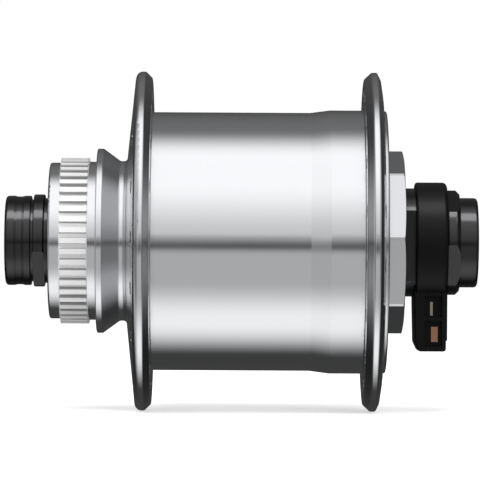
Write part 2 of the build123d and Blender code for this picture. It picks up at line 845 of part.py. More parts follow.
with BuildPart() as side_cover:
    with BuildSketch(station(cover_face)):
        RegularPolygon(octagon_flats / 2, side_count=8, major_radius=False, rotation=octagon_angle)
    extrude(amount=octagon_length + cover_rim_width)
    with BuildSketch(Plane.XY):
        half_section(
            (0, cover_face, 0),
            (seal_pocket_radius, cover_face, 0),
            (octagon_face_radius, octagon_shoulder, 0),
            (octagon_turned_radius, octagon_chamfer_end, octagon_edge_round),
            (octagon_turned_radius, shell_end, 0),
            (0, shell_end, 0),
        )
    revolve(axis=Axis.Y, mode=Mode.INTERSECT)
    with BuildSketch(Plane.XY):
        half_section(
            (0, octagon_root, 0),
            (cover_rim_radius, octagon_root, cover_rim_round),
            (cover_rim_radius, shell_end, 0),
            (cover_spigot_radius, shell_end, 0),
            (cover_spigot_radius, cover_spigot_end, 0),
            (cover_spigot_radius - cover_spigot_wall, cover_spigot_end, 0),
            (cover_spigot_radius - cover_spigot_wall, octagon_root + cover_web, 0),
            (cover_boss_radius, octagon_root + cover_web, 0),
            (cover_boss_radius, cover_boss_end, 0),
            (0, cover_boss_end, 0),
        )
    revolve(axis=Axis.Y)
    with BuildSketch(Plane.XY):
        half_section(
            (0, cover_face - overrun, 0),
            (seal_pocket_radius, cover_face - overrun, 0),
            (seal_pocket_radius, seal_seat_inner, 0),
            (bearing_seat_radius - lip_step, seal_seat_inner, 0),
            (bearing_seat_radius - lip_step, bearing_outer, 0),
            (bearing_seat_radius, bearing_outer, 0),
            (bearing_seat_radius, cover_boss_end + overrun, 0),
            (0, cover_boss_end + overrun, 0),
        )
    revolve(axis=Axis.Y, mode=Mode.SUBTRACT)
    with BuildSketch(Plane.XY):
        ring_section(
            outer_ring_radius - overrun,
            circlip_radius + seat_gap,
            bearing_inner - circlip_side_gap,
            circlip_inner + circlip_side_gap,
        )
        ring_section(
            cover_spigot_radius - gasket_seat_depth,
            cover_spigot_radius + overrun,
            gasket_place - gasket_seat_depth / 2,
            gasket_place + gasket_seat_depth / 2,
        )
    revolve(axis=Axis.Y, mode=Mode.SUBTRACT)

# Gasket between the cover's spigot and the shell
with BuildPart() as cover_gasket:
    with BuildSketch(Plane.XY):
        race_section(cover_spigot_radius - gasket_diameter / 2, gasket_place, gasket_diameter / 2)
    revolve(axis=Axis.Y)

# Seal in the cover's pocket, round the inner nut's nose
with BuildPart() as right_cover_seal:
    with BuildSketch(Plane.XY):
        ring_section(
            inner_nut_nose_radius + seal_gap,
            seal_pocket_radius - seat_gap,
            seal_seat_inner - seal_thickness,
            seal_seat_inner,
        )
    revolve(axis=Axis.Y)

# Shell: barrel, both flanges, rotor boss and spline in one piece
right_rim_bevel_end = right_rim_outer - right_rim_bevel / 2
right_bevel_radius = flange_radius - right_rim_bevel
right_step_radius = right_bevel_radius - right_flange_step_height
right_step_place = right_rim_bevel_end - right_flange_step
right_inner_lean = barrel_right - right_flange_lean
left_bevel_radius = flange_radius - left_rim_bevel
web_slope_radius = iron_seat_radius - web_slope_run


def on_slope(radius, start, end):
    """The place at a radius on a flange face that runs straight between two (radius, place) corners."""
    share = (radius - start[0]) / (end[0] - start[0])
    return start[1] + (end[1] - start[1]) * share


left_hole_outer = on_slope(
    left_spoke_circle_radius, (waist_radius, left_flange_root), (flange_radius, left_rim_outer)
)
left_hole_inner = on_slope(
    left_spoke_circle_radius, (barrel_radius, barrel_left), (left_bevel_radius, left_bevel_end)
)
right_hole_inner = on_slope(
    right_spoke_circle_radius, (barrel_end_radius, barrel_right), (right_bevel_radius, right_inner_lean)
)
right_hole_outer = on_slope(
    right_spoke_circle_radius, (barrel_end_radius, shell_end), (right_step_radius, right_step_place)
)

with BuildPart() as hub_shell:
    with BuildSketch(Plane.XY):
        half_section(
            (thread_radius, seal_seat_outer, 0),
            (thread_radius, nose_face - nose_mouth_chamfer, 0),
            (thread_radius + nose_mouth_chamfer, nose_face, 0),
            (collar_radius, nose_face, nose_round),
            (collar_radius, spline_outer, 0),
            (spline_core_radius, spline_outer, 0),
            (spline_core_radius, spline_inner, 0),
            (neck_radius, spline_inner, 0),
            (neck_radius, stop_face, 0),
            (stop_radius, stop_face, stop_rim_round),
            (stop_radius, stop_rim_inner, stop_rim_round),
            (waist_radius, waist_outer, waist_fillet),
            (waist_radius, left_flange_root, waist_fillet),
            (flange_radius, left_rim_outer, left_rim_round),
            (flange_radius, left_rim_inner, left_rim_edge_round),
            (left_bevel_radius, left_bevel_end, left_rim_edge_round),
            (barrel_radius, barrel_left, barrel_fillet),
            (barrel_radius, barrel_taper_inner, 0),
            (barrel_end_radius, barrel_taper_outer, 0),
            (barrel_end_radius, barrel_right, barrel_fillet),
            (right_bevel_radius, right_inner_lean, right_rim_round),
            (flange_radius, right_rim_inner, right_rim_round),
            (flange_radius, right_rim_outer, right_rim_round),
            (right_bevel_radius, right_rim_bevel_end, right_rim_round),
            (right_step_radius, right_step_place, 0),
            (barrel_end_radius, shell_end, 0),
            (cover_seat_radius, shell_end, 0),
            (cover_seat_radius, cover_spigot_end + cover_seat_room, 0),
            (chamber_radius, cover_spigot_end + cover_seat_room, 0),
            (chamber_radius, iron_left, 0),
            (iron_seat_radius, iron_left, 0),
            (iron_seat_radius, chamber_left, 0),
            (web_slope_radius, chamber_left, 0),
            (grease_hole_radius, chamber_left + web_slope_rise, 0),
            (grease_hole_radius, cup_inner, 0),
            (cup_seat_radius, cup_inner, 0),
            (cup_seat_radius, seal_seat_outer, 0),
        )
    revolve(axis=Axis.Y)
    # Spline: straight teeth round the boss
    spline_root_width = 2 * pi * spline_root_radius / spline_teeth * spline_root_share
    spline_crest_width = 2 * pi * spline_root_radius / spline_teeth * spline_crest_share
    spline_slope = (spline_root_width - spline_crest_width) / 2 / spline_tooth_height
    tooth_depth = spline_tooth_height + (spline_root_radius - spline_core_radius) / 2
    tooth_root_width = spline_crest_width + spline_slope * tooth_depth * 2
    with BuildSketch(station(spline_inner)):
        Circle(spline_root_radius)
        with PolarLocations(spline_root_radius + spline_tooth_height - tooth_depth, spline_teeth):
            Polygon(
                (0, -tooth_root_width / 2),
                (tooth_depth, -spline_crest_width / 2),
                (tooth_depth, spline_crest_width / 2),
                (0, tooth_root_width / 2),
                align=None,
            )
        Circle((thread_radius + spline_core_radius) / 2, mode=Mode.SUBTRACT)
    extrude(amount=spline_length)
    # Spoke holes, lightly countersunk on both faces of each flange
    sink_radius = spoke_hole_radius + spoke_sink + overrun
    sink_height = spoke_sink + overrun
    for circle_radius, hole_inner, hole_outer, first_angle in (
        (left_spoke_circle_radius, left_hole_inner, left_hole_outer, left_spoke_angle),
        (right_spoke_circle_radius, right_hole_outer, right_hole_inner, right_spoke_angle),
    ):
        with BuildSketch(station(hole_inner - overrun)):
            with PolarLocations(circle_radius, spoke_count, start_angle=first_angle):
                Circle(spoke_hole_radius)
        extrude(amount=hole_outer - hole_inner + overrun * 2, mode=Mode.SUBTRACT)
        with Locations(station(hole_outer - spoke_sink)):
            with PolarLocations(circle_radius, spoke_count, start_angle=first_angle):
                Cone(
                    spoke_hole_radius,
                    sink_radius,
                    sink_height,
                    align=(Align.CENTER, Align.CENTER, Align.MIN),
                    mode=Mode.SUBTRACT,
                )
        with Locations(station(hole_inner + spoke_sink)):
            with PolarLocations(circle_radius, spoke_count, start_angle=first_angle):
                Cone(
                    sink_radius,
                    spoke_hole_radius,
                    sink_height,
                    align=(Align.CENTER, Align.CENTER, Align.MAX),
                    mode=Mode.SUBTRACT,
                )

# Stator core on the axle
with BuildPart() as stator_core:
    with BuildSketch(Plane.XY):
        ring_section(seat_radius, core_radius, right_core_end, left_core_end)
    revolve(axis=Axis.Y)

# Bobbin on the core, and the winding in it
with BuildPart() as coil_bobbin:
    with BuildSketch(Plane.XY):
        half_section(
            (bobbin_bore, bobbin_left, 0),
            (bobbin_radius, bobbin_left, 0),
            (bobbin_radius, bobbin_left - bobbin_flange, 0),
            (bobbin_hub_radius, bobbin_left - bobbin_flange, 0),
            (bobbin_hub_radius, bobbin_right + bobbin_flange, 0),
            (bobbin_radius, bobbin_right + bobbin_flange, 0),
            (bobbin_radius, bobbin_right, 0),
            (bobbin_bore, bobbin_right, 0),
        )
    revolve(axis=Axis.Y)

with BuildPart() as coil_winding:
    with BuildSketch(Plane.XY):
        ring_section(
            bobbin_hub_radius + seat_gap,
            winding_radius,
            bobbin_right + bobbin_flange + seat_gap,
            bobbin_left - bobbin_flange - seat_gap,
        )
    revolve(axis=Axis.Y)


def claw_poles(web_face, core_face, tip, first_angle):
    """Adds one side's claw poles: each has a web on the core's end and a finger over the winding."""
    for pole in range(pole_count):
        pole_plane = Plane.XY.rotated((0, first_angle + pole * pole_pitch, 0))
        with BuildSketch(pole_plane) as pole_sketch:
            with BuildLine() as pole_outline:
                Polyline(
                    (-seat_radius - pole_root_step, web_face),
                    (-pole_face, web_face),
                    (-pole_face, tip),
                    (-finger_inner, tip),
                    (-finger_inner, core_face),
                    (-seat_radius - pole_root_step, core_face),
                    close=True,
                )
            make_face(pole_outline.edges())
        extrude(pole_sketch.sketch, amount=pole_width / 2, both=True)


with BuildPart() as left_claw_poles:
    claw_poles(left_web_outer, left_core_end, right_web_outer + pole_tip_room, left_pole_angle)

with BuildPart() as right_claw_poles:
    claw_poles(right_web_outer, right_core_end, left_web_outer - pole_tip_room, right_pole_angle)

# Plates that clamp the poles on the core
with BuildPart() as left_stator_plate:
    with BuildSketch(Plane.XY):
        ring_section(seat_radius, stator_plate_radius, left_web_outer, left_plate_outer)
    revolve(axis=Axis.Y)

with BuildPart() as right_stator_plate:
    with BuildSketch(Plane.XY):
        ring_section(seat_radius, stator_plate_radius, right_plate_outer, right_web_outer)
    revolve(axis=Axis.Y)
    with BuildSketch(station(right_plate_outer)):
        with Locations((0, -wire_start_line)):
            Circle(groove_width / 2)
    extrude(amount=stator_plate_thickness, mode=Mode.SUBTRACT)

# Nut that clamps the stator against the axle's shoulder
with BuildPart() as stator_nut:
    with BuildSketch(station(left_plate_outer)):
        RegularPolygon(stator_nut_radius, side_count=6)
        Circle(seat_radius, mode=Mode.SUBTRACT)
    extrude(amount=stator_nut_thickness)

# Back iron in the shell, and the magnets in it
with BuildPart() as back_iron_ring:
    with BuildSketch(Plane.XY):
        ring_section(iron_radius - iron_wall, iron_radius, iron_right, iron_left)
    revolve(axis=Axis.Y)

magnet_arc = 360 / magnet_count - magnet_joint / magnet_radius / radians(1)
with BuildPart() as magnet_segments:
    for segment in range(magnet_count):
        with BuildSketch(Plane.XY.rotated((0, segment * 360 / magnet_count, 0))):
            ring_section(magnet_bore, magnet_radius, right_web_outer, left_web_outer)
        revolve(axis=Axis.Y, revolution_arc=magnet_arc)

# Keeper ring that holds the magnets and the back iron in the shell
with BuildPart() as magnet_keeper:
    with BuildSketch(Plane.XY):
        ring_section(iron_radius - keeper_height, iron_radius, iron_right - keeper_width, iron_right)
    revolve(axis=Axis.Y)

pieces = {
    "back_iron_ring": back_iron_ring,
    "bearing_circlip": bearing_circlip,
    "coil_bobbin": coil_bobbin,
    "coil_winding": coil_winding,
    "connector_body": connector_body,
    "cover_gasket": cover_gasket,
    "ground_contact": ground_contact,
    "hollow_axle": hollow_axle,
    "hub_shell": hub_shell,
    "inner_nut": inner_nut,
    "lead_wire": lead_wire,
    "left_ball_cage": left_ball_cage,
    "left_balls": left_balls,
    "left_bearing_cup": left_bearing_cup,
    "left_cap_o_ring": left_cap_o_ring,
    "left_claw_poles": left_claw_poles,
    "left_cone": left_cone,
    "left_dust_cover": left_dust_cover,
    "left_end_cap": left_end_cap,
    "left_lock_nut": left_lock_nut,
    "left_seal": left_seal,
    "left_spacer": left_spacer,
    "left_stator_plate": left_stator_plate,
    "live_contact": live_contact,
    "magnet_keeper": magnet_keeper,
    "magnet_segments": magnet_segments,
    "right_ball_cage": right_ball_cage,
    "right_balls": right_balls,
    "right_bearing_inner_ring": right_bearing_inner_ring,
    "right_bearing_outer_ring": right_bearing_outer_ring,
    "right_bearing_shields": right_bearing_shields,
    "right_cap_o_ring": right_cap_o_ring,
    "right_claw_poles": right_claw_poles,
    "right_cover_seal": right_cover_seal,
    "right_end_cap": right_end_cap,
    "right_lock_nut": right_lock_nut,
    "right_spacer": right_spacer,
    "right_stator_plate": right_stator_plate,
    "side_cover": side_cover,
    "stator_core": stator_core,
    "stator_nut": stator_nut,
}
for label, piece in pieces.items():
    piece.part.label = label
    export_step(piece.part, f"parts/{label}.step")
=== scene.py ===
import json
from math import cos, radians, sin

import bpy
from mathutils import Matrix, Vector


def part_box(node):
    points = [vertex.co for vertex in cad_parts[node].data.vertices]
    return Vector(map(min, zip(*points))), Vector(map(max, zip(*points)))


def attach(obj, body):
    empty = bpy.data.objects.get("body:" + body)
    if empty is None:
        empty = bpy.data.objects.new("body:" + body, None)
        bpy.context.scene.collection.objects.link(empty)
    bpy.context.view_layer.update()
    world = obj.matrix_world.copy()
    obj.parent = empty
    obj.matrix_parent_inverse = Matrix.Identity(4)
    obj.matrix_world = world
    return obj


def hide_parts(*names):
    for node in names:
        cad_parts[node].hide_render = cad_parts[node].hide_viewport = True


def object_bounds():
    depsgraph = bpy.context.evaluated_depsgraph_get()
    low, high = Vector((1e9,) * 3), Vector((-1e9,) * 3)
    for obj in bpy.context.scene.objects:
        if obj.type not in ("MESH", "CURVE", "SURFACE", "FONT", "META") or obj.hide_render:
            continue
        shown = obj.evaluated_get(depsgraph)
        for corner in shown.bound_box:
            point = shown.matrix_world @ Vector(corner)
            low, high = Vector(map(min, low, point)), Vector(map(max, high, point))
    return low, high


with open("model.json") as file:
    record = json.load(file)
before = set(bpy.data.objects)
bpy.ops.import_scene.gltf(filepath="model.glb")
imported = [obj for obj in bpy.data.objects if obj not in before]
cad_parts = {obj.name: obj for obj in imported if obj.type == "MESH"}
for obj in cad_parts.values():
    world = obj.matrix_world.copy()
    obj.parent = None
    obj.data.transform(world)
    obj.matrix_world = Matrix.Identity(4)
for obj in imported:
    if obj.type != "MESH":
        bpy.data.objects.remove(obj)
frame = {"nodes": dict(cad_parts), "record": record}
cad_low, cad_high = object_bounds()
nodes = frame["nodes"]

# Lengths are in metres and angles in degrees. The axle lies along Y, and the photo looks along +X.
MM = 0.001


# Small helpers for building node trees
def add_node(tree, kind, inputs=None, **settings):
    """A new node with its settings, and with its inputs set or linked."""
    node = tree.nodes.new(kind)
    for name, value in settings.items():
        setattr(node, name, value)
    for name, value in (inputs or {}).items():
        if isinstance(value, bpy.types.NodeSocket):
            tree.links.new(value, node.inputs[name])
        else:
            node.inputs[name].default_value = value
    return node


def sums(tree, operation, first, second=0.0):
    """The output of a math node on two sockets or numbers."""
    return add_node(tree, "ShaderNodeMath", {0: first, 1: second}, operation=operation).outputs[0]


def off_middle(tree, value, middle):
    """How far a socket's value lies from a middle one."""
    return sums(tree, "ABSOLUTE", sums(tree, "SUBTRACT", value, middle))


def ramp(tree, factor, stops):
    """The shade of a grey ramp at a factor. A stop is a place from 0 to 1 and a grey level."""
    node = add_node(tree, "ShaderNodeValToRGB", {0: factor})
    marks = node.color_ramp.elements
    while len(marks) < len(stops):
        marks.new(0.5)
    for mark, (place, shade) in zip(marks, stops):
        mark.position = place
        mark.color = (shade, shade, shade, 1)
    return node.outputs["Color"]


def new_material(name, colour, roughness, metallic=0.0, **shader_inputs):
    """A material with its plain shader values set, and its node tree and shader."""
    material = bpy.data.materials.new(name)
    material.use_nodes = True
    shader = material.node_tree.nodes["Principled BSDF"]
    shader.inputs["Base Color"].default_value = (*colour, 1)
    shader.inputs["Roughness"].default_value = roughness
    shader.inputs["Metallic"].default_value = metallic
    for label, value in shader_inputs.items():
        shader.inputs[label.replace("_", " ")].default_value = value
    return material, material.node_tree, shader


def noise(tree, vector, scale, detail=3.0, roughness=0.5):
    """The level of a noise from 0 to 1."""
    node = add_node(
        tree,
        "ShaderNodeTexNoise",
        {"Vector": vector, "Scale": scale, "Detail": detail, "Roughness": roughness},
    )
    return node.outputs["Fac"]


def turned_place(tree):
    """A vector of the place along the axle and the radius, so that a pattern on it runs in rings."""
    place = add_node(tree, "ShaderNodeTexCoord").outputs["Object"]
    parts = add_node(tree, "ShaderNodeSeparateXYZ", {0: place})
    across = add_node(tree, "ShaderNodeCombineXYZ", {0: parts.outputs[0], 2: parts.outputs[2]})
    radius = add_node(tree, "ShaderNodeVectorMath", {0: across.outputs[0]}, operation="LENGTH")
    rings = add_node(tree, "ShaderNodeCombineXYZ", {0: parts.outputs[1], 1: radius.outputs["Value"]})
    return rings.outputs[0], place


def level_between(tree, factor, low, high):
    """A number between a low and a high one."""
    node = add_node(tree, "ShaderNodeMapRange", {0: factor, 3: low, 4: high})
    return node.outputs[0]


def varied(tree, factor, level, shares):
    """A level that runs between a low and a high share of itself."""
    low, high = shares
    return level_between(tree, factor, level * low, level * high)


def mean(tree, first, second):
    """The mean of two sockets."""
    return sums(tree, "ADD", sums(tree, "MULTIPLY", first, 0.5), sums(tree, "MULTIPLY", second, 0.5))


def smooth_step(tree, value, start, end):
    """Goes smoothly from 0 at the start to 1 at the end, or back to 0 where the end comes first."""
    low, high, first, last = (start, end, 0.0, 1.0) if end > start else (end, start, 1.0, 0.0)
    node = add_node(
        tree,
        "ShaderNodeMapRange",
        {0: value, 1: low, 2: high, 3: first, 4: last},
        interpolation_type="SMOOTHSTEP",
    )
    return node.outputs[0]


def mixed_level(tree, factor, first, second):
    """A number between two sockets or numbers, the second where the factor is 1."""
    return add_node(tree, "ShaderNodeMix", {"Factor": factor, "A": first, "B": second}).outputs[0]


def mixed_colour(tree, factor, first, second):
    """A colour between two sockets or colours, the second where the factor is 1."""
    node = add_node(tree, "ShaderNodeMix", {"Factor": factor}, data_type="RGBA")
    for name, colour in (("A", first), ("B", second)):
        if isinstance(colour, tuple):
            node.inputs[name].default_value = (*colour, 1)
        else:
            tree.links.new(colour, node.inputs[name])
    return node.outputs["Result"]


def bump(tree, shader, height, distance):
    """Gives the shader a bump from a height that runs from 0 to 1."""
    node = add_node(tree, "ShaderNodeBump", {"Height": height, "Distance": distance, "Strength": 1.0})
    tree.links.new(node.outputs[0], shader.inputs["Normal"])


def view_rays(tree):
    """The outputs that tell rays apart, and a level that is 1 for rays of the camera or through glass."""
    rays = add_node(tree, "ShaderNodeLightPath").outputs
    return rays, sums(tree, "MAXIMUM", rays["Is Camera Ray"], rays["Is Transmission Ray"])


# Spline of the rotor side: its place along the axle, its circles, and the painted shade of its teeth up
# from the root circle,
# as shares of the shaded height: grey levels that darken the flanks as if in shade between the teeth. The
# painted shade fades in over the edge at each end of the teeth.
mount_places = {mount["name"]: mount["pos_m"] for mount in frame["record"]["mounts"]}
spline_middle = mount_places["disc_rotor_spline"][1]
SPLINE_LENGTH = 5.95 * MM
SPLINE_CORE = 16.0 * MM
SPLINE_ROOT = 16.5 * MM
TOOTH_PAINTED_SHADES = ((0.0, 0.95), (0.14, 0.95), (0.24, 0.32), (0.8, 0.4), (0.93, 0.84))
TOOTH_HEIGHT = 1.1 * MM
TOOTH_EDGE = 0.22 * MM
TOOTH_ROUGHNESS = 0.35
TOOTH_METALLIC = 0.35

# Inner faces of the flanges, which get a darker painted shade that stands in for their darker reflection:
# outside the barrel, and this far in from the spoke holes
BARREL_RADIUS = 27.95 * MM
HOLES_TO_FACE = 0.55 * MM
INNER_FACE_PAINTED_SHADE = (0.56, 0.57, 0.59)
hole_places = [mount_places[side + "_spoke_holes"][1] for side in ("rotor_side", "connector_side")]
barrel_middle = sum(hole_places) / 2
barrel_half = abs(hole_places[0] - hole_places[1]) / 2 - HOLES_TO_FACE


# Finishes: their clouds in patterns a metre, their grain's width and depth, and how far roughness varies
METAL_CLOUDS = 60.0
MACHINED_CLOUDS = 180.0
PLASTIC_CLOUDS = 150.0
MACHINED_GRAIN, MACHINED_DEPTH = 0.1 * MM, 0.001 * MM
PLASTIC_GRAIN, PLASTIC_DEPTH = 0.25 * MM, 0.008 * MM
WIDE_RINGS = 0.12  # as a share of the fine rings' number
QUARTER_TURN = 0.25
EVEN_ROUGHNESS = (0.85, 1.15)
UNEVEN_ROUGHNESS = (0.8, 1.2)

# Dark and light shade, roughness, anisotropy, and the rings' width and depth
TURNED_METALS = {
    "turned_aluminium": ((0.84, 0.85, 0.87), (0.87, 0.88, 0.90), 0.13, 0.8, 0.12 * MM, 0.0001 * MM),
    "cover_aluminium": ((0.69, 0.7, 0.72), (0.72, 0.73, 0.75), 0.16, 0.7, 0.12 * MM, 0.0001 * MM),
    "black_metal": ((0.056, 0.056, 0.058), (0.066, 0.066, 0.068), 0.22, 0.7, 0.15 * MM, 0.0002 * MM),
}
# The turned metal whose spline teeth get a duller finish, and whose teeth flanks and flanges' inner faces
# get painted shade.
BROACHED_SHADED_METAL = "turned_aluminium"

# Dark and light shade, and roughness
MACHINED_METALS = {
    "axle_metal": ((0.4, 0.4, 0.42), (0.55, 0.55, 0.57), 0.35),
    "steel": ((0.42, 0.42, 0.43), (0.56, 0.56, 0.57), 0.35),
    "bearing_steel": ((0.55, 0.55, 0.56), (0.66, 0.66, 0.67), 0.12),
    "stator_iron": ((0.2, 0.2, 0.21), (0.34, 0.34, 0.35), 0.5),
    "magnet": ((0.08, 0.08, 0.085), (0.14, 0.14, 0.15), 0.55),
    "copper": ((0.45, 0.22, 0.13), (0.62, 0.33, 0.21), 0.4),
    "tinned_contact": ((0.38, 0.34, 0.28), (0.5, 0.46, 0.4), 0.4),
}

# Dark and light shade, roughness, and the level of the sheen
PLASTICS = {
    "connector_plastic": ((0.0015, 0.0015, 0.0016), (0.003, 0.003, 0.0032), 0.36, 0.17),
    "bobbin_plastic": ((0.05, 0.05, 0.055), (0.07, 0.07, 0.075), 0.45, 0.5),
    "cage_plastic": ((0.4, 0.33, 0.21), (0.48, 0.4, 0.27), 0.45, 0.5),
    "wire_cover": ((0.03, 0.03, 0.03), (0.045, 0.045, 0.045), 0.4, 0.5),
    "rubber": ((0.018, 0.018, 0.018), (0.028, 0.028, 0.028), 0.6, 0.5),
}


def turned_metal(name, dark, light, roughness, anisotropy, ring_width, ring_depth, broached_and_shaded):
    """Metal turned on a lathe: fine rings round the axle, which stretch reflections along it.
    Where asked, its spline teeth get a duller finish with painted shade on their flanks, and the inner
    faces of its flanges get a darker painted shade."""
    material, tree, shader = new_material(name, light, roughness, metallic=1.0, Anisotropic=anisotropy)
    rings, place = turned_place(tree)
    tangent = add_node(tree, "ShaderNodeTangent", direction_type="RADIAL", axis="Y")
    tree.links.new(tangent.outputs[0], shader.inputs["Tangent"])
    shader.inputs["Anisotropic Rotation"].default_value = QUARTER_TURN
    fine = noise(tree, rings, 1 / ring_width, detail=4.0, roughness=0.6)
    wide = noise(tree, rings, WIDE_RINGS / ring_width, detail=2.0)
    clouds = noise(tree, place, METAL_CLOUDS)
    colour = mixed_colour(tree, mean(tree, wide, fine), dark, light)
    rough = varied(tree, mean(tree, fine, clouds), roughness, EVEN_ROUGHNESS)
    if broached_and_shaded:
        parts = add_node(tree, "ShaderNodeSeparateXYZ", {0: rings})
        along, radius = parts.outputs[:2]
        off_spline = off_middle(tree, along, spline_middle)
        in_spline = sums(tree, "LESS_THAN", off_spline, SPLINE_LENGTH / 2)
        teeth = sums(tree, "MULTIPLY", in_spline, sums(tree, "GREATER_THAN", radius, SPLINE_CORE))
        height = sums(tree, "DIVIDE", sums(tree, "SUBTRACT", radius, SPLINE_ROOT), TOOTH_HEIGHT)
        inside = smooth_step(tree, off_spline, SPLINE_LENGTH / 2, SPLINE_LENGTH / 2 - TOOTH_EDGE)
        # Painted shade: the ramp darkens the teeth's flanks as if in shade between the teeth.
        tooth_painted_shade = ramp(tree, sums(tree, "MULTIPLY", height, inside), TOOTH_PAINTED_SHADES)
        colour = mixed_colour(tree, teeth, colour, tooth_painted_shade)
        rough = mixed_level(tree, teeth, rough, TOOTH_ROUGHNESS)
        tree.links.new(level_between(tree, teeth, 1.0, TOOTH_METALLIC), shader.inputs["Metallic"])
        # Painted shade: the flanges' inner faces get a darker colour that stands in for their darker
        # reflection.
        between = sums(tree, "LESS_THAN", off_middle(tree, along, barrel_middle), barrel_half)
        shaded_inner_faces = sums(tree, "MULTIPLY", between, sums(tree, "GREATER_THAN", radius, BARREL_RADIUS))
        colour = mixed_colour(tree, shaded_inner_faces, colour, INNER_FACE_PAINTED_SHADE)
    tree.links.new(colour, shader.inputs["Base Color"])
    tree.links.new(rough, shader.inputs["Roughness"])
    bump(tree, shader, fine, ring_depth)
    return material


def machined_metal(name, dark, light, roughness):
    """Plain machined or ground metal with a fine even grain."""
    material, tree, shader = new_material(name, light, roughness, metallic=1.0)
    rings, place = turned_place(tree)
    fine = noise(tree, rings, 1 / MACHINED_GRAIN)
    clouds = noise(tree, place, MACHINED_CLOUDS, detail=4.0)
    tree.links.new(mixed_colour(tree, clouds, dark, light), shader.inputs["Base Color"])
    tree.links.new(varied(tree, clouds, roughness, UNEVEN_ROUGHNESS), shader.inputs["Roughness"])
    bump(tree, shader, fine, MACHINED_DEPTH)
    return material


def moulded_plastic(name, dark, light, roughness, specular):
    """Moulded plastic or rubber with a fine eroded grain."""
    material, tree, shader = new_material(name, light, roughness, Specular_IOR_Level=specular)
    place = add_node(tree, "ShaderNodeTexCoord").outputs["Object"]
    fine = noise(tree, place, 1 / PLASTIC_GRAIN)
    clouds = noise(tree, place, PLASTIC_CLOUDS)
    tree.links.new(mixed_colour(tree, clouds, dark, light), shader.inputs["Base Color"])
    tree.links.new(varied(tree, fine, roughness, EVEN_ROUGHNESS), shader.inputs["Roughness"])
    bump(tree, shader, fine, PLASTIC_DEPTH)
    return material


finishes = {}
for name, values in TURNED_METALS.items():
    finishes[name] = turned_metal(name, *values, broached_and_shaded=(name == BROACHED_SHADED_METAL))
for name, values in MACHINED_METALS.items():
    finishes[name] = machined_metal(name, *values)
for name, values in PLASTICS.items():
    finishes[name] = moulded_plastic(name, *values)
for piece in frame["record"]["subparts"]:
    mesh = nodes[piece["node"]].data
    mesh.materials.clear()
    mesh.materials.append(finishes[piece["material_slot"]])


# Coil winding: the turns of wire that lie on the coil's outside, over a plain core. The steps are those
# of a turn, round the wire and round the core.
WIRE_DIAMETER = 0.8 * MM
WIRE_GAP = 0.02 * MM
WINDING_BORE = 12.36 * MM
WINDING_SIZES = ("Length", "Outer Radius", "Bore Radius", "Wire Diameter", "Turns")
TURN_STEPS = 72
WIRE_STEPS = 8
CORE_STEPS = 96


def winding_tree(material):
    """A node tree that winds one layer of wire round a plain core on the Y axis, and its sockets."""
    tree = bpy.data.node_groups.new("wound_coil", "GeometryNodeTree")
    sockets = {
        label: tree.interface.new_socket(label, in_out="INPUT", socket_type="NodeSocketFloat").identifier
        for label in WINDING_SIZES
    }
    tree.interface.new_socket("Geometry", in_out="OUTPUT", socket_type="NodeSocketGeometry")
    given = tree.nodes.new("NodeGroupInput").outputs
    length, outer, bore, wire, turns = (given[label] for label in WINDING_SIZES)
    wire_radius = sums(tree, "DIVIDE", wire, 2.0)
    wire_line = sums(tree, "SUBTRACT", outer, wire_radius)
    run = sums(tree, "SUBTRACT", length, wire)
    spiral = add_node(
        tree,
        "GeometryNodeCurveSpiral",
        {
            "Resolution": TURN_STEPS,
            "Rotations": turns,
            "Start Radius": wire_line,
            "End Radius": wire_line,
            "Height": run,
        },
    )
    section = add_node(
        tree, "GeometryNodeCurvePrimitiveCircle", {"Resolution": WIRE_STEPS, "Radius": wire_radius}
    )
    wound = add_node(
        tree,
        "GeometryNodeCurveToMesh",
        {"Curve": spiral.outputs[0], "Profile Curve": section.outputs[0], "Fill Caps": True},
    )
    smooth = add_node(tree, "GeometryNodeSetShadeSmooth", {"Geometry": wound.outputs[0]})
    half_run = sums(tree, "MULTIPLY", run, -0.5)
    to_middle = add_node(tree, "ShaderNodeCombineXYZ", {2: half_run})
    layer = add_node(
        tree,
        "GeometryNodeTransform",
        {"Geometry": smooth.outputs[0], "Translation": to_middle.outputs[0]},
    )
    core_line = sums(tree, "DIVIDE", sums(tree, "ADD", bore, wire_line), 2.0)
    ring = add_node(
        tree, "GeometryNodeCurvePrimitiveCircle", {"Resolution": CORE_STEPS, "Radius": core_line}
    )
    block = add_node(
        tree,
        "GeometryNodeCurvePrimitiveQuadrilateral",
        {"Width": sums(tree, "SUBTRACT", wire_line, bore), "Height": length},
    )
    core = add_node(
        tree, "GeometryNodeCurveToMesh", {"Curve": ring.outputs[0], "Profile Curve": block.outputs[0]}
    )
    both = add_node(tree, "GeometryNodeJoinGeometry")
    tree.links.new(core.outputs[0], both.inputs[0])
    tree.links.new(layer.outputs[0], both.inputs[0])
    laid = add_node(
        tree, "GeometryNodeTransform", {"Geometry": both.outputs[0], "Rotation": (radians(-90), 0, 0)}
    )
    real = add_node(tree, "GeometryNodeRealizeInstances", {"Geometry": laid.outputs[0]})
    dressed = add_node(
        tree, "GeometryNodeSetMaterial", {"Geometry": real.outputs[0], "Material": material}
    )
    tree.links.new(dressed.outputs[0], tree.nodes.new("NodeGroupOutput").inputs[0])
    return tree, sockets


